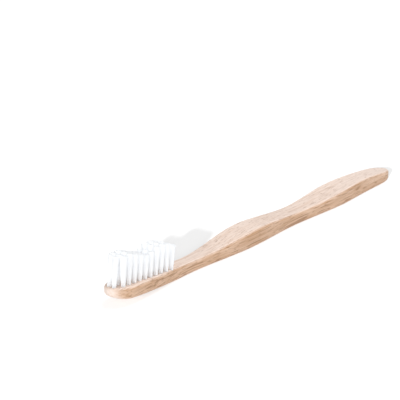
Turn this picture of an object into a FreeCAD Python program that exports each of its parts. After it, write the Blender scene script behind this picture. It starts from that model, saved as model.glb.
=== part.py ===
import FreeCAD, Part
import math
import os
from FreeCAD import Vector

# Manual toothbrush lying on its back: a one-piece bamboo handle whose head carries
# nylon tufts, each folded under a flat brass strip that is driven into a blind hole.
# X runs from the toe (minus) to the butt (plus), Z is up, and the back rests on Z = 0.

# Handle seen from above: places measured from the toe, and the full widths there.
# The grip keeps its distance to the butt, and the waist lies between shoulder and grip.
brush_length = 190.0
toe_round_length = 8.0
head_width = 11.2
neck_place = 40.0
neck_width = 6.7
shoulder_place = 77.0
shoulder_width = 11.4
grip_to_butt = 47.0
grip_place = brush_length - grip_to_butt
grip_width = 12.6
waist_share = 0.455
waist_place = shoulder_place + waist_share * (grip_place - shoulder_place)
waist_width = 9.3
butt_round_length = 12.0
butt_width = 9.8

# Handle seen from the side: places measured from the toe, and heights above the back
head_tilt = 4.0
head_flat_length = 34.0
head_flat_end_height = 4.98
neck_dip_place = 47.0
neck_height = 4.4
shoulder_top_place = 82.0
shoulder_height = 6.8
grip_top_to_butt = 31.0
grip_top_place = brush_length - grip_top_to_butt
grip_height = 6.6
waist_dip_share = 0.415
waist_dip_place = shoulder_top_place + waist_dip_share * (grip_top_place - shoulder_top_place)
waist_height = 4.95
butt_height = 4.1
butt_fall = 8.0
back_flat_place = 37.8
back_bend_radius = 80.0
back_rise = 5.1
toe_lift_place = 5.5
toe_lift_radius = 13.0
toe_lift_turn = 30.0
top_edge_round = 1.2
back_edge_round = 1.3

# Tufts: a slimmer pair at the toe, then columns of three, counted from the toe to the neck.
# Their trimmed ends nearly touch, so the pitches follow the width that a tuft spreads to.
tuft_hole_diameter = 1.6
tuft_hole_depth = 2.7
tuft_fit = 0.03
tuft_flats = 16
tuft_top_diameter = 2.6
column_gap = 0.33
column_pitch = tuft_top_diameter + column_gap
row_gap = 0.1
row_pitch = tuft_top_diameter + row_gap
row_count = 3
toe_pair_place = 1.75
toe_pair_top_diameter = 2.1
toe_pair_gap = 0.1
toe_pair_spacing = toe_pair_top_diameter + toe_pair_gap
first_column_place = 4.75
bristle_length = 11.0
toe_pair_trim_share = 1.0
column_trim_shares = [1.0, 1.02, 0.95, 0.86, 0.80, 0.85, 0.96, 0.98, 0.95, 0.85]

# Brass strip that holds a tuft down: it stands on edge across the hole, over the fold
strip_thickness = 0.25
strip_height = 1.4
strip_bite = 0.15
strip_fit = 0.02
strip_angle = 30.0
fold_height = 0.45

# Cutting shapes run past their stock by this much
overrun = 2.0


def along(place):
    """X of a place that is measured from the toe."""
    return place - brush_length / 2


def head_top(place):
    """Height of the flat, tilted top of the head at a place from the toe."""
    return head_flat_end_height + (head_flat_length - place) * math.tan(math.radians(head_tilt))


def line(start, end):
    """Straight edge between two points."""
    return Part.LineSegment(start, end).toShape()


def smooth_edge(points, start_direction, end_direction):
    """One smooth edge through the points, with its directions at both ends."""
    curve = Part.BSplineCurve()
    curve.interpolate(Points=points, InitialTangent=start_direction, FinalTangent=end_direction)
    return curve.toShape()


def end_arc(centre_x, reach, width):
    """Half ellipse that closes one end of the plan; a negative reach points to the toe."""
    half_circle = Part.Arc(Vector(0, -1, 0), Vector(1, 0, 0), Vector(0, 1, 0)).toShape()
    stretch = FreeCAD.Matrix()
    stretch.scale(reach, width / 2, 1)
    stretch.move(Vector(centre_x, 0, 0))
    return half_circle.transformGeometry(stretch)


def plan_prism(height):
    """The handle seen from above: head, neck, shoulder, waist, grip and butt, drawn up."""
    toe_x = along(toe_round_length)
    butt_x = along(brush_length - butt_round_length)
    stations = [
        (toe_x, head_width),
        (along(neck_place), neck_width),
        (along(shoulder_place), shoulder_width),
        (along(waist_place), waist_width),
        (along(grip_place), grip_width),
        (butt_x, butt_width),
    ]
    lengthwise = Vector(1, 0, 0)
    edges = [
        end_arc(toe_x, -toe_round_length, head_width),
        end_arc(butt_x, butt_round_length, butt_width),
    ]
    for side in (1, -1):
        points = [Vector(x, side * width / 2, 0) for x, width in stations]
        edges.append(smooth_edge(points, lengthwise, lengthwise))
    plan = Part.Face(Part.Wire(Part.__sortEdges__(edges)))
    return plan.extrude(Vector(0, 0, height))


def top_edges():
    """The top seen from the side: the flat tilted head, then waves down to the butt."""
    tilt = math.radians(head_tilt)
    fall = math.radians(butt_fall)
    waves = [
        Vector(along(head_flat_length), 0, head_flat_end_height),
        Vector(along(neck_dip_place), 0, neck_height),
        Vector(along(shoulder_top_place), 0, shoulder_height),
        Vector(along(waist_dip_place), 0, waist_height),
        Vector(along(grip_top_place), 0, grip_height),
        Vector(along(brush_length), 0, butt_height),
        Vector(along(brush_length + overrun), 0, butt_height - overrun * math.tan(fall)),
    ]
    head_direction = Vector(math.cos(tilt), 0, -math.sin(tilt))
    butt_direction = Vector(math.cos(fall), 0, -math.sin(fall))
    toe_end = Vector(along(-overrun), 0, head_top(-overrun))
    return [line(toe_end, waves[0]), smooth_edge(waves, head_direction, butt_direction)]


def back_bend(start, radius, first_angle, last_angle):
    """Arc that bends the back up towards the toe, with its slope at both ends."""
    points = []
    for angle in (first_angle, (first_angle + last_angle) / 2, last_angle):
        x = start.x - radius * (math.sin(angle) - math.sin(first_angle))
        points.append(Vector(x, 0, start.z + radius * (math.cos(first_angle) - math.cos(angle))))
    return Part.Arc(*points).toShape(), points[-1]


def back_slope(start, angle, x):
    """Straight stretch of the back that climbs towards the toe, up to an X."""
    end = Vector(x, 0, start.z + (start.x - x) * math.tan(angle))
    return line(start, end), end


def back_edges():
    """The back seen from the side: flat, bent up under the head, and bent again at the toe."""
    rise = math.radians(back_rise)
    toe_rise = math.radians(back_rise + toe_lift_turn)
    butt_end = Vector(along(brush_length + overrun), 0, 0)
    flat_end = Vector(along(back_flat_place), 0, 0)
    head_bend, bend_end = back_bend(flat_end, back_bend_radius, 0, rise)
    head_slope, slope_end = back_slope(bend_end, rise, along(toe_lift_place))
    toe_bend, lift_end = back_bend(slope_end, toe_lift_radius, rise, toe_rise)
    past_toe = min(along(0), lift_end.x) - overrun
    toe_slope, toe_end = back_slope(lift_end, toe_rise, past_toe)
    return [line(butt_end, flat_end), head_bend, head_slope, toe_bend, toe_slope]


def side_prism(width):
    """The handle seen from the side, drawn across."""
    top = top_edges()
    back = back_edges()
    butt = line(top[-1].lastVertex().Point, back[0].firstVertex().Point)
    toe = line(back[-1].lastVertex().Point, top[0].firstVertex().Point)
    side = Part.Face(Part.Wire(top + [butt] + back + [toe]))
    side.translate(Vector(0, -width / 2, 0))
    return side.extrude(Vector(0, width, 0))


def upward_lean(face):
    """How far a face looks up (1) or down (-1), taken at its middle."""
    first_u, last_u, first_v, last_v = face.ParameterRange
    return face.normalAt((first_u + last_u) / 2, (first_v + last_v) / 2).z


def outline_edges(blank, facing, least_lean, most_lean):
    """Curved edges that have one neighbour leaning up (facing 1) or down (-1) between limits."""
    found = []
    for edge in blank.Edges:
        leans = [facing * upward_lean(face) for face in blank.ancestorsOfType(edge, Part.Face)]
        leaning = [lean for lean in leans if least_lean < lean <= most_lean]
        if len(leaning) == 1 and not isinstance(edge.Curve, Part.Line):
            found.append(edge)
    return found


def eased(blank, facing, radius):
    """Round the outline of the top or back in three narrow flats that touch one arc."""
    bevel_start = math.sin(math.radians(30))
    bevel_end = math.sin(math.radians(60))
    wide_touch = radius * math.tan(math.radians(22.5))
    narrow_touch = radius * math.tan(math.radians(11.25))
    corners = outline_edges(blank, facing, bevel_end, 1)
    blank = blank.makeChamfer(radius - wide_touch, corners)
    bevel_sides = outline_edges(blank, facing, bevel_start, bevel_end)
    return blank.makeChamfer(wide_touch - narrow_touch, bevel_sides)


def tuft_places():
    """Where each tuft stands, with its name, its place along and across, length and top width."""
    places = []
    for index, side in enumerate((-1, 1)):
        across = side * toe_pair_spacing / 2
        length = bristle_length * toe_pair_trim_share
        name = f"tuft_toe_{index + 1}"
        places.append((name, toe_pair_place, across, length, toe_pair_top_diameter))
    for row in range(row_count):
        across = (row - (row_count - 1) / 2) * row_pitch
        for column, share in enumerate(column_trim_shares):
            place = first_column_place + column * column_pitch
            length = bristle_length * share
            name = f"tuft_row{row + 1}_{column + 1:02d}"
            places.append((name, place, across, length, tuft_top_diameter))
    return places


def on_head(shape, place, across):
    """Move a shape made at the origin, pointing up, to its place on the tilted head."""
    head = FreeCAD.Placement(
        Vector(along(0), 0, head_top(0)),
        FreeCAD.Rotation(Vector(0, 1, 0), head_tilt),
    )
    moved = shape.copy()
    moved.translate(Vector(place, across, 0))
    moved.Placement = head.multiply(moved.Placement)
    return moved


def tuft_hole():
    """Blind hole for one tuft, open at the top of the head."""
    foot = Vector(0, 0, -tuft_hole_depth)
    return Part.makeCylinder(tuft_hole_diameter / 2, tuft_hole_depth + overrun, foot)


def strip_block(clearance):
    """The brass strip on edge in its hole, or the slot that it takes with a clearance."""
    length = tuft_hole_diameter + 2 * (strip_bite + clearance)
    thickness = strip_thickness + 2 * clearance
    height = strip_height + 2 * clearance
    corner = Vector(-length / 2, -thickness / 2, fold_height - tuft_hole_depth - clearance)
    block = Part.makeBox(length, thickness, height, corner)
    block.rotate(Vector(0, 0, 0), Vector(0, 0, 1), strip_angle)
    return block


def bundle_ring(radius, height):
    """Corners of the bundle of filaments at one height, joined by flats."""
    turns = [2 * math.pi * flat / tuft_flats for flat in range(tuft_flats)]
    return [Vector(radius * math.cos(turn), radius * math.sin(turn), height) for turn in turns]


def flat_face(corners):
    """Flat face with the corners in order."""
    return Part.Face(Part.makePolygon(corners + corners[:1]))


def tuft(length, top_diameter):
    """One tuft: a shank that fills its hole round the strip, then flares to a trimmed end."""
    shank = tuft_hole_diameter / 2 - tuft_fit
    rings = [
        bundle_ring(shank, tuft_fit - tuft_hole_depth),
        bundle_ring(shank, 0),
        bundle_ring(top_diameter / 2, length),
    ]
    faces = [flat_face(rings[0]), flat_face(rings[-1])]
    for lower, upper in zip(rings, rings[1:]):
        for flat in range(tuft_flats):
            faces.append(flat_face([lower[flat - 1], lower[flat], upper[flat], upper[flat - 1]]))
    bundle = Part.Solid(Part.Shell(faces))
    return bundle.cut(strip_block(strip_fit)).Solids[0]


def bamboo_handle(places):
    """The handle: plan and side outlines crossed, edges eased, head drilled for the tufts."""
    tallest = head_top(-overrun) + shoulder_height + grip_height
    widest = head_width + shoulder_width + grip_width
    blank = plan_prism(tallest).common(side_prism(widest)).Solids[0]
    blank = eased(blank, -1, back_edge_round)
    blank = eased(blank, 1, top_edge_round)
    holes = [on_head(tuft_hole(), place, across) for name, place, across, *tuft_size in places]
    return blank.cut(holes).Solids[0]


def save(name, shape):
    """Write one piece to its own file."""
    shape.exportStep(f"parts/{name}.step")


os.makedirs("parts", exist_ok=True)
places = tuft_places()
save("bamboo_handle", bamboo_handle(places))
strips = [on_head(strip_block(0), place, across) for name, place, across, *tuft_size in places]
save("brass_strips", Part.makeCompound(strips))
for name, place, across, *tuft_size in places:
    save(name, on_head(tuft(*tuft_size), place, across))
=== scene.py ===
import math
import random
from collections import namedtuple

import bpy
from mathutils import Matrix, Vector


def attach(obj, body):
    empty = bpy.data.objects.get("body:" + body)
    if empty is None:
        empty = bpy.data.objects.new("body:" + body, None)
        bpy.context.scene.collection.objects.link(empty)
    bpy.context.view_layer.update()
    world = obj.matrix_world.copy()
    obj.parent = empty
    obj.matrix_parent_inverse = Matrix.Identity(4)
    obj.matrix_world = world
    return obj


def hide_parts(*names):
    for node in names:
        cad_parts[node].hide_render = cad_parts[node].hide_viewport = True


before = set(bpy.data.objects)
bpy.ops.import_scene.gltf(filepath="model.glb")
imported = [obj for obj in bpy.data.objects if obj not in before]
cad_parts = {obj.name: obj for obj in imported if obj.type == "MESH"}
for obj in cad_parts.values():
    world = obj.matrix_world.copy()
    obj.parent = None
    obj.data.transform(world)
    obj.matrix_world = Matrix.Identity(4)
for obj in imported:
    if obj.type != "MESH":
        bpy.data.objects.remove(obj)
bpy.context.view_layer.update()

# Bamboo handle
# One strip of bamboo sawn to a waved outline, drilled at the head and sanded, with no lacquer.
# The planed top is pale inner flesh. The sawn sides are darker, with fibres in long fine streaks.
mm = 0.001


def linear(code):
    """Linear colour of an sRGB hex value."""
    shares = [int(code[place:place + 2], 16) / 255 for place in (1, 3, 5)]
    return [s / 12.92 if s <= 0.04045 else ((s + 0.055) / 1.055) ** 2.4 for s in shares] + [1.0]


def add_node(tree, kind, values=None, links=None, **settings):
    """Add one node with its settings, its socket values and the links to its inputs."""
    node = tree.nodes.new(kind)
    for name, setting in settings.items():
        setattr(node, name, setting)
    for socket, value in (values or {}).items():
        node.inputs[socket].default_value = value
    for socket, (source, output) in (links or {}).items():
        tree.links.new(source.outputs[output], node.inputs[socket])
    return node


def new_material(name):
    """An empty node material, with its tree."""
    material = bpy.data.materials.new(name)
    material.use_nodes = True
    material.node_tree.nodes.clear()
    return material, material.node_tree


def streak_pattern(tree, place, size, detail):
    """A soft pattern whose marks have the given real size along X, Y and Z."""
    scaled = add_node(
        tree, "ShaderNodeMapping", links={"Vector": (place, "Object")},
        values={"Scale": [1 / length for length in size]},
    )
    return add_node(
        tree, "ShaderNodeTexNoise", links={"Vector": (scaled, "Vector")},
        values={"Scale": 1.0, "Detail": detail},
    )


# Sanded bamboo: dull, pale and warm, with straight fibres as soft streaks, fine lines and dashes.
# Real fibre bundles are about 0.3 mm wide. Lines and dashes are drawn a little wider, so they show.
planed_flesh = "#f9e6da"
planed_flesh_warm = "#edd4c3"
sawn_side = "#e6c6ad"
sawn_side_deep = "#c9a383"
# Painted highlight on the roundings of the toe and the butt, where the strip faces along its length
end_highlight = "#fdf1ea"
sawn_edge = "#c2946c"
fibre_bundle = "#8f6644"
tone_size, tone_detail = (70.0 * mm, 3.5 * mm, 3.5 * mm), 3.0
streak_size, streak_detail = (34.0 * mm, 0.9 * mm, 0.9 * mm), 4.0
line_size, line_detail = (28.0 * mm, 0.5 * mm, 0.5 * mm), 2.0
dash_size, dash_detail = (3.6 * mm, 0.4 * mm, 0.4 * mm), 1.0
fibre_depth, fibre_strength = 0.04 * mm, 0.35
bamboo_ior, bamboo_shine = 1.5, 0.35

# Each range holds two readings, of a pattern, a place or a facing, and the two shares they become
range_sockets = ("From Min", "From Max", "To Min", "To Max")
sawn_range = (0.45, 0.92, 0.0, 1.0)
long_grain_range = (0.3, 0.7, 1.0, 0.15)
streak_range = (0.32, 0.68, 0.0, 1.0)
butt_fade_range = (35.0 * mm, 80.0 * mm, 1.0, 0.1)
# darker low on the sides: denser wood near the rind and painted shade near the floor
rind_and_shade_range = (0.0, 3.0 * mm, 0.6, 0.0)
cut_edge_range = (0.12, 0.38, 0.0, 0.6)
tone_range = (0.3, 0.7, 0.97, 1.03)
end_highlight_range = (0.7, 1.0, 0.0, 0.4)
line_range = (0.55, 0.63, 0.0, 1.0)
line_top_to_side = (0.0, 1.0, 0.2, 0.6)
dash_range = (0.58, 0.74, 0.0, 1.0)
dash_top_to_side = (0.0, 1.0, 0.5, 0.55)
dullness_range = (0.3, 0.7, 0.52, 0.68)

# The colour sockets of a Mix node go by number, because other kinds of socket share their names
colour_a, colour_b, mixed = 6, 7, 2

bamboo, tree = new_material("sanded_bamboo")
place = add_node(tree, "ShaderNodeTexCoord")
spot = add_node(tree, "ShaderNodeSeparateXYZ", links={"Vector": (place, "Object")})
facing = add_node(tree, "ShaderNodeSeparateXYZ", links={"Vector": (place, "Normal")})
sideways = add_node(tree, "ShaderNodeMath", operation="ABSOLUTE", links={0: (facing, "Y")})
endways = add_node(tree, "ShaderNodeMath", operation="ABSOLUTE", links={0: (facing, "X")})
sawn = add_node(
    tree, "ShaderNodeMapRange", links={"Value": (sideways, "Value")},
    values=dict(zip(range_sockets, sawn_range)), interpolation_type="SMOOTHSTEP",
)
long_grain = add_node(
    tree, "ShaderNodeMapRange", links={"Value": (endways, "Value")},
    values=dict(zip(range_sockets, long_grain_range)),
)
tones = streak_pattern(tree, place, tone_size, tone_detail)
streaks = streak_pattern(tree, place, streak_size, streak_detail)
lines = streak_pattern(tree, place, line_size, line_detail)
dashes = streak_pattern(tree, place, dash_size, dash_detail)

# Two colours for the planed top and two for the sawn sides, mixed in streaks along the grain.
# The warm streaks of the top fade towards the butt.
streak_share = add_node(
    tree, "ShaderNodeMapRange", links={"Value": (streaks, "Fac")},
    values=dict(zip(range_sockets, streak_range)),
)
butt_fade = add_node(
    tree, "ShaderNodeMapRange", links={"Value": (spot, "X")},
    values=dict(zip(range_sockets, butt_fade_range)),
)
warm_share = add_node(
    tree, "ShaderNodeMath", operation="MULTIPLY",
    links={0: (streak_share, "Result"), 1: (butt_fade, "Result")},
)
flesh = add_node(
    tree, "ShaderNodeMix", links={"Factor": (warm_share, "Value")}, data_type="RGBA",
    values={colour_a: linear(planed_flesh), colour_b: linear(planed_flesh_warm)},
)
sides = add_node(
    tree, "ShaderNodeMix", links={"Factor": (streak_share, "Result")}, data_type="RGBA",
    values={colour_a: linear(sawn_side), colour_b: linear(sawn_side_deep)},
)
wood = add_node(
    tree, "ShaderNodeMix", data_type="RGBA",
    links={"Factor": (sawn, "Result"), colour_a: (flesh, mixed), colour_b: (sides, mixed)},
)

# Low on the sides: denser wood near the rind and painted shade. Darker too along the edge under the
# top
rind_and_shade = add_node(
    tree, "ShaderNodeMapRange", links={"Value": (spot, "Z")},
    values=dict(zip(range_sockets, rind_and_shade_range)),
)
rind_and_shade_share = add_node(
    tree, "ShaderNodeMath", operation="MULTIPLY",
    links={0: (rind_and_shade, "Result"), 1: (sawn, "Result")},
)
wood_rind_and_shade = add_node(
    tree, "ShaderNodeMix", values={colour_b: linear(sawn_side_deep)}, data_type="RGBA",
    links={"Factor": (rind_and_shade_share, "Value"), colour_a: (wood, mixed)},
)
under_edge = add_node(
    tree, "ShaderNodeMapRange", links={"Value": (facing, "Z")},
    values=dict(zip(range_sockets, cut_edge_range)),
)
streaked_edge = add_node(
    tree, "ShaderNodeMath", operation="MULTIPLY",
    links={0: (under_edge, "Result"), 1: (streak_share, "Result")},
)
edge_share = add_node(
    tree, "ShaderNodeMath", operation="MULTIPLY",
    links={0: (streaked_edge, "Value"), 1: (sawn, "Result")},
)
wood_edged = add_node(
    tree, "ShaderNodeMix", values={colour_b: linear(sawn_edge)}, data_type="RGBA",
    links={"Factor": (edge_share, "Value"), colour_a: (wood_rind_and_shade, mixed)},
)

# Broad tones along the whole strip, and a painted highlight on the rounding of the toe and the butt
tone_value = add_node(
    tree, "ShaderNodeMapRange", links={"Value": (tones, "Fac")},
    values=dict(zip(range_sockets, tone_range)),
)
wood_toned = add_node(
    tree, "ShaderNodeHueSaturation",
    links={"Color": (wood_edged, mixed), "Value": (tone_value, "Result")},
)
# The painted highlight grows where the surface faces along the strip
end_highlight_share = add_node(
    tree, "ShaderNodeMapRange", links={"Value": (endways, "Value")},
    values=dict(zip(range_sockets, end_highlight_range)),
)
wood_highlit = add_node(
    tree, "ShaderNodeMix", values={colour_b: linear(end_highlight)}, data_type="RGBA",
    links={"Factor": (end_highlight_share, "Result"), colour_a: (wood_toned, "Color")},
)

# Fibre bundles: fine lines that are plain on the sides, and short dashes that also mark the top
line_dark = add_node(
    tree, "ShaderNodeMapRange", links={"Value": (lines, "Fac")},
    values=dict(zip(range_sockets, line_range)), interpolation_type="SMOOTHSTEP",
)
line_show = add_node(
    tree, "ShaderNodeMapRange", links={"Value": (sawn, "Result")},
    values=dict(zip(range_sockets, line_top_to_side)),
)
line_share = add_node(
    tree, "ShaderNodeMath", operation="MULTIPLY",
    links={0: (line_dark, "Result"), 1: (line_show, "Result")},
)
dash_dark = add_node(
    tree, "ShaderNodeMapRange", links={"Value": (dashes, "Fac")},
    values=dict(zip(range_sockets, dash_range)), interpolation_type="SMOOTHSTEP",
)
dash_show = add_node(
    tree, "ShaderNodeMapRange", links={"Value": (sawn, "Result")},
    values=dict(zip(range_sockets, dash_top_to_side)),
)
dash_share = add_node(
    tree, "ShaderNodeMath", operation="MULTIPLY",
    links={0: (dash_dark, "Result"), 1: (dash_show, "Result")},
)
darkest = add_node(
    tree, "ShaderNodeMath", operation="MAXIMUM",
    links={0: (line_share, "Value"), 1: (dash_share, "Value")},
)
bundle_share = add_node(
    tree, "ShaderNodeMath", operation="MULTIPLY",
    links={0: (darkest, "Value"), 1: (long_grain, "Result")},
)
wood_grained = add_node(
    tree, "ShaderNodeMix", values={colour_b: linear(fibre_bundle)}, data_type="RGBA",
    links={"Factor": (bundle_share, "Value"), colour_a: (wood_highlit, mixed)},
)
dullness = add_node(
    tree, "ShaderNodeMapRange", links={"Value": (streaks, "Fac")},
    values=dict(zip(range_sockets, dullness_range)),
)
relief = add_node(
    tree, "ShaderNodeMath", operation="SUBTRACT",
    links={0: (streaks, "Fac"), 1: (bundle_share, "Value")},
)
fibre_relief = add_node(
    tree, "ShaderNodeBump", links={"Height": (relief, "Value")},
    values={"Strength": fibre_strength, "Distance": fibre_depth},
)
sanded = add_node(
    tree, "ShaderNodeBsdfPrincipled",
    values={"IOR": bamboo_ior, "Specular IOR Level": bamboo_shine},
    links={
        "Base Color": (wood_grained, mixed),
        "Roughness": (dullness, "Result"),
        "Normal": (fibre_relief, "Normal"),
    },
)
add_node(tree, "ShaderNodeOutputMaterial", links={"Surface": (sanded, "BSDF")})
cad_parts["bamboo_handle"].data.materials[0] = bamboo

# Brass strips
# A flat strip sheared from brass band for each tuft, driven on edge across the folded filaments.
# Its ends bite into the wall of the drilled hole. All of them are hidden below the head's top.

# Sheared brass: yellow metal with a soft shine, streaked with dull lines where the shear went down.
# Real shear lines are some hundredths of a millimetre wide. They are drawn wider, so they show.
brass_sheared = "#c9a65a"
brass_dull = "#a98545"
shear_size, shear_detail = (0.12 * mm, 0.12 * mm, 1.2 * mm), 3.0
shear_depth, shear_strength = 0.01 * mm, 0.2
polish_range = (0.3, 0.7, 0.25, 0.42)

brass, tree = new_material("sheared_brass")
place = add_node(tree, "ShaderNodeTexCoord")
shear_lines = streak_pattern(tree, place, shear_size, shear_detail)
brass_tone = add_node(
    tree, "ShaderNodeMix", links={"Factor": (shear_lines, "Fac")}, data_type="RGBA",
    values={colour_a: linear(brass_sheared), colour_b: linear(brass_dull)},
)
brass_polish = add_node(
    tree, "ShaderNodeMapRange", links={"Value": (shear_lines, "Fac")},
    values=dict(zip(range_sockets, polish_range)),
)
brass_relief = add_node(
    tree, "ShaderNodeBump", links={"Height": (shear_lines, "Fac")},
    values={"Strength": shear_strength, "Distance": shear_depth},
)
sheared = add_node(
    tree, "ShaderNodeBsdfPrincipled", values={"Metallic": 1.0},
    links={
        "Base Color": (brass_tone, mixed),
        "Roughness": (brass_polish, "Result"),
        "Normal": (brass_relief, "Normal"),
    },
)
add_node(tree, "ShaderNodeOutputMaterial", links={"Surface": (sheared, "BSDF")})
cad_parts["brass_strips"].data.materials[0] = brass

# Nylon tufts
# Bundles of white nylon filaments, each folded once under its brass strip, so both ends stand up.
# They fill the drilled hole, spread above it, and are trimmed to a wave with domed tuft ends.
head_tilt = math.radians(4.0)
strip_turn = math.radians(30.0)
hole_depth = 2.67 * mm
hole_radius = 0.77 * mm
strip_half = 0.125 * mm
strip_foot = 2.25 * mm
level_slack = 0.01 * mm

lean = Vector((math.sin(head_tilt), 0, math.cos(head_tilt)))
ahead = Vector((math.cos(head_tilt), 0, -math.sin(head_tilt)))
across = Vector((0, 1, 0))
strip_way = ahead * math.cos(strip_turn) + across * math.sin(strip_turn)
fold_way = across * math.cos(strip_turn) - ahead * math.sin(strip_turn)

# One filament: its round, its fold under the strip and its rounded ends, as shares of their sizes
filament_radius = 0.065 * mm
filament_sides = 5
filament_spots = 130
fold_start = 0.94
fold_inset = 0.8
end_rise = 0.35
end_taper = 0.7
stray = 0.05 * mm
trim_scatter = 0.07 * mm

# One tuft: the width of its end against the solid's, the bend of its flare, its dome and its core
end_width = 1.12
flare_bend = 0.85
rise_shares = [0.35, 0.7, 1.0]
middle_rise = 0.25 * mm
end_dome = 0.75 * mm
core_share = 0.9
core_sides = 16
core_drop = 0.1 * mm
core_dome_shares = [0.75, 0.4]

# Tufts with a width and a bend of their own, and how far their ends lean to the butt and across.
# Those at the toe crowd together, and one in the far row is thin.
odd_tufts = {
    "tuft_toe_1": (1.26, 0.6, 0.62 * mm, 0.0),
    "tuft_toe_2": (1.26, 0.5, 0.7 * mm, 0.0),
    "tuft_row1_01": (1.18, 0.6, -0.4 * mm, 0.0),
    "tuft_row2_01": (1.3, 0.4, -0.4 * mm, -0.4 * mm),
    "tuft_row3_06": (0.75, flare_bend, 0.0, 0.0),
}

# Drawn nylon: white and slightly cool, with a soft gloss that breaks up along each filament.
# Real drawing lines are finer than a hundredth of a millimetre. They are drawn wider, so they show.
nylon_white = "#feffff"
nylon_shade = "#f9fbfe"
drawn_size, drawn_detail = (0.15 * mm, 0.15 * mm, 2.0 * mm), 2.0
drawn_depth, drawn_strength = 0.01 * mm, 0.15
gloss_range = (0.3, 0.7, 0.32, 0.46)
nylon_ior = 1.53

nylon, tree = new_material("white_nylon")
place = add_node(tree, "ShaderNodeTexCoord")
drawn_lines = streak_pattern(tree, place, drawn_size, drawn_detail)
each = add_node(tree, "ShaderNodeNewGeometry")
nylon_tone = add_node(
    tree, "ShaderNodeMix", links={"Factor": (each, "Random Per Island")}, data_type="RGBA",
    values={colour_a: linear(nylon_white), colour_b: linear(nylon_shade)},
)
nylon_gloss = add_node(
    tree, "ShaderNodeMapRange", links={"Value": (drawn_lines, "Fac")},
    values=dict(zip(range_sockets, gloss_range)),
)
nylon_relief = add_node(
    tree, "ShaderNodeBump", links={"Height": (drawn_lines, "Fac")},
    values={"Strength": drawn_strength, "Distance": drawn_depth},
)
drawn = add_node(
    tree, "ShaderNodeBsdfPrincipled", values={"IOR": nylon_ior},
    links={
        "Base Color": (nylon_tone, mixed),
        "Roughness": (nylon_gloss, "Result"),
        "Normal": (nylon_relief, "Normal"),
    },
)
add_node(tree, "ShaderNodeOutputMaterial", links={"Surface": (drawn, "BSDF")})

Tuft = namedtuple("Tuft", "mouth length spread bend tip_shift")


def tuft_ends(node):
    """Middle of the tuft's foot and of its trimmed end, and that end's radius, from the node."""
    corners = [corner.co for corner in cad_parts[node].data.vertices]
    heights = [corner.dot(lean) for corner in corners]
    ends = []
    for level in (min(heights), max(heights)):
        ring = [c for c, height in zip(corners, heights) if abs(height - level) < level_slack]
        ends.append(sum(ring, Vector()) / len(ring))
    return ends[0], ends[1], max((corner - ends[1]).length for corner in ring)


def measured_tuft(node):
    """The mouth of the tuft's hole, its length, its flare and the lean of its end."""
    foot, tip, end_radius = tuft_ends(node)
    mouth = foot + lean * hole_depth
    width, bend, ahead_shift, across_shift = odd_tufts.get(node, (end_width, flare_bend, 0.0, 0.0))
    tip_shift = ahead * ahead_shift + across * across_shift
    return Tuft(mouth, (tip - mouth).dot(lean), width * end_radius / hole_radius, bend, tip_shift)


def trimmed(tuft, reach):
    """Length of a filament at a share of the tuft's radius: the trimmed end is a low dome."""
    return tuft.length + middle_rise - end_dome * reach ** 2


def flared(tuft, share):
    """Width of a tuft at a share of its height, as a multiple of the width of its hole."""
    return 1 + (tuft.spread - 1) * share ** tuft.bend


def filament_end(tuft, spot, chance):
    """Points of one standing filament, from the mouth of the hole to its trimmed end."""
    side_step = strip_way * chance.gauss(0, stray) + fold_way * chance.gauss(0, stray)
    rise = trimmed(tuft, spot.length / hole_radius) + chance.uniform(-trim_scatter, trim_scatter)
    points = []
    for share in rise_shares:
        step = spot * flared(tuft, share) + side_step * share ** 2 + tuft.tip_shift * share
        points.append(tuft.mouth + step + lean * rise * share)
    return points


def folded_filament(tuft, spot, chance):
    """Points of a filament that comes down one side of the strip and goes up the other."""
    off = spot.dot(fold_way)
    beside = strip_way * spot.dot(strip_way)
    sag = filament_radius + (off / hole_radius) * (hole_depth - strip_foot - 2 * filament_radius)
    halves = []
    for side in (1, -1):
        leg = beside + fold_way * off * side
        turn = tuft.mouth + beside + fold_way * side * (strip_half + filament_radius) * fold_inset
        low = [
            turn - lean * (strip_foot + sag),
            tuft.mouth + leg - lean * strip_foot * fold_start,
            tuft.mouth + leg,
        ]
        halves.append(low + filament_end(tuft, leg, chance))
    return halves[0][::-1] + halves[1]


def closed_skin(first, ring_count, sides, faces):
    """Join rings of corners, from the first corner on, and close both ends."""
    for ring in range(ring_count - 1):
        start = first + ring * sides
        for side in range(sides):
            after = (side + 1) % sides
            faces.append((start + side, start + after, start + after + sides, start + side + sides))
    last = first + (ring_count - 1) * sides
    faces.append(tuple(range(first + sides - 1, first - 1, -1)))
    faces.append(tuple(range(last, last + sides)))


def round_filament(points, corners, faces):
    """Add a round filament along the points, with rounded ends."""
    ways = []
    for index in range(len(points)):
        before, after = points[max(index - 1, 0)], points[min(index + 1, len(points) - 1)]
        ways.append((after - before).normalized())
    bulge, taper = filament_radius * end_rise, filament_radius * end_taper
    rings = [(points[0] - ways[0] * bulge, taper, ways[0])]
    rings += [(point, filament_radius, way) for point, way in zip(points, ways)]
    rings.append((points[-1] + ways[-1] * bulge, taper, ways[-1]))
    first = len(corners)
    for middle, radius, way in rings:
        one = (strip_way - way * strip_way.dot(way)).normalized()
        two = way.cross(one)
        for side in range(filament_sides):
            turn = 2 * math.pi * side / filament_sides
            corners.append(middle + (one * math.cos(turn) + two * math.sin(turn)) * radius)
    closed_skin(first, len(rings), filament_sides, faces)


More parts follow.
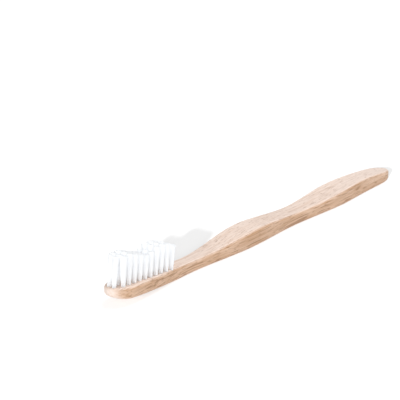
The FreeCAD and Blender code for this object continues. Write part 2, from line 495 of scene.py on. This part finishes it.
def packed_core(tuft, corners, faces):
    """Add the close-packed middle of a tuft, which no light passes through."""
    core_radius = hole_radius * core_share
    side_height = trimmed(tuft, core_share) - core_drop
    rings = [(core_radius, 0.0)]
    for share in rise_shares:
        rings.append((core_radius * flared(tuft, share), side_height * share))
    for share in core_dome_shares:
        dome_height = trimmed(tuft, core_share * share) - core_drop
        rings.append((core_radius * tuft.spread * share, dome_height))
    first = len(corners)
    for radius, height in rings:
        for side in range(core_sides):
            turn = 2 * math.pi * side / core_sides
            out = (ahead * math.cos(turn) + across * math.sin(turn)) * radius
            corners.append(tuft.mouth + out + lean * height + tuft.tip_shift * height / tuft.length)
    closed_skin(first, len(rings), core_sides, faces)


def hole_spots():
    """Evenly packed places of the filaments on one side of the strip in a hole."""
    golden_turn = math.pi * (3 - math.sqrt(5))
    reach = hole_radius - filament_radius
    spots = []
    for index in range(filament_spots):
        out = reach * math.sqrt((index + 0.5) / filament_spots)
        spot = strip_way * out * math.cos(index * golden_turn)
        spot += fold_way * out * math.sin(index * golden_turn)
        if spot.dot(fold_way) > strip_half + filament_radius:
            spots.append(spot)
    return spots


spots = hole_spots()
tuft_nodes = sorted(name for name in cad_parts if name.startswith("tuft_"))
for number, node in enumerate(tuft_nodes):
    chance = random.Random(number)
    tuft = measured_tuft(node)
    corners, faces = [], []
    for spot in spots:
        round_filament(folded_filament(tuft, spot, chance), corners, faces)
    packed_core(tuft, corners, faces)
    mesh = bpy.data.meshes.new("filaments_" + node)
    mesh.from_pydata(corners, [], faces)
    mesh.polygons.foreach_set("use_smooth", [True] * len(mesh.polygons))
    mesh.materials.append(nylon)
    filaments = bpy.data.objects.new("filaments_" + node, mesh)
    bpy.context.scene.collection.objects.link(filaments)
    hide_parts(node)
    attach(filaments, "root")

# Floor and light
# A sheet of matt paper that runs far past the view, in an even white room. Three soft lamps light
# the brush, two off its toe end and one overhead. A fourth stands low and lights the paper alone,
# so that the tufts throw a long shadow on it.

# Matt paper: pale grey that the lamps bring up to white, with a glow that keeps its shadow faint
paper_size = 3.0
paper_grey = "#cbcbcb"
paper_glow = 0.29
paper_drop = 0.05 * mm

paper, tree = new_material("matt_paper")
ray = add_node(tree, "ShaderNodeLightPath")
seen = add_node(
    tree, "ShaderNodeMath", operation="MAXIMUM",
    links={0: (ray, "Is Camera Ray"), 1: (ray, "Is Glossy Ray")},
)
seen_through = add_node(
    tree, "ShaderNodeMath", operation="MAXIMUM",
    links={0: (seen, "Value"), 1: (ray, "Is Transmission Ray")},
)
glow_share = add_node(
    tree, "ShaderNodeMath", operation="MULTIPLY", values={1: paper_glow},
    links={0: (seen_through, "Value")},
)
sheet = add_node(tree, "ShaderNodeBsdfDiffuse", values={"Color": linear(paper_grey)})
glow = add_node(tree, "ShaderNodeEmission", links={"Strength": (glow_share, "Value")})
glowing_sheet = add_node(
    tree, "ShaderNodeAddShader", links={0: (sheet, "BSDF"), 1: (glow, "Emission")},
)
add_node(tree, "ShaderNodeOutputMaterial", links={"Surface": (glowing_sheet, "Shader")})
half = paper_size / 2
floor_mesh = bpy.data.meshes.new("paper_floor")
floor_mesh.from_pydata(
    [(x, y, -paper_drop) for x, y in ((-half, -half), (half, -half), (half, half), (-half, half))],
    [], [(0, 1, 2, 3)],
)
floor_mesh.materials.append(paper)
floor = bpy.data.objects.new("paper_floor", floor_mesh)
bpy.context.scene.collection.objects.link(floor)

# The room gives an even light, and where the camera sees it past the paper it is plain white
room_white = "#ffffff"
room_strength = 0.48
seen_strength = 1.0

room = bpy.data.worlds.new("white_room")
room.use_nodes = True
tree = room.node_tree
tree.nodes.clear()
ray = add_node(tree, "ShaderNodeLightPath")
room_light, room_seen = [
    add_node(
        tree, "ShaderNodeBackground", values={"Color": linear(room_white), "Strength": strength},
    )
    for strength in (room_strength, seen_strength)
]
room_mix = add_node(
    tree, "ShaderNodeMixShader",
    links={0: (ray, "Is Camera Ray"), 1: (room_light, "Background"), 2: (room_seen, "Background")},
)
add_node(tree, "ShaderNodeOutputWorld", links={"Surface": (room_mix, "Shader")})
bpy.context.scene.world = room

# Square lamps that face the brush: their places and widths in metres and their power in watts
lamps = {
    "front_lamp": ((-4.2, -3.62, 2.2), 1.6, 119.0),
    "toe_lamp": ((-5.5, -0.6, 1.7), 1.2, 55.0),
    "top_lamp": ((2.0, -0.6, 4.6), 3.0, 107.0),
    "shadow_lamp": ((-5.41, -2.16, 1.54), 0.2, 640.0),
}
lamp_stands = {}
for name, (lamp_place, width, power) in lamps.items():
    lamp = bpy.data.lights.new(name, "AREA")
    lamp.size = width
    lamp.energy = power
    stand = bpy.data.objects.new(name, lamp)
    stand.location = lamp_place
    stand.rotation_euler = (-Vector(lamp_place)).to_track_quat("-Z", "Y").to_euler()
    bpy.context.scene.collection.objects.link(stand)
    lamp_stands[name] = stand
paper_only = bpy.data.collections.new("paper_only")
paper_only.objects.link(floor)
lamp_stands["shadow_lamp"].light_linking.receiver_collection = paper_only

# Between white filaments light is passed on many times before it fades
filament_bounces = 12
bpy.context.scene.cycles.diffuse_bounces = filament_bounces

# Camera
# A long lens a little above the table, off the toe end of the brush, with no tilt to either side.
view_heading = math.radians(37.545)
view_drop = math.radians(18.541)
camera_place = (-403.94 * mm, -277.19 * mm, 178.04 * mm)
sensor_width = 36.0
lens_length = 117.0
nearest_seen = 10.0 * mm

camera = bpy.data.cameras.new("camera")
camera.sensor_width = sensor_width
camera.lens = lens_length
camera.clip_start = nearest_seen
camera_stand = bpy.data.objects.new("camera", camera)
camera_stand.location = camera_place
camera_stand.rotation_euler = (math.pi / 2 - view_drop, 0, view_heading - math.pi / 2)
bpy.context.scene.collection.objects.link(camera_stand)
bpy.context.scene.camera = camera_stand
bpy.context.scene.view_settings.view_transform = "Standard"
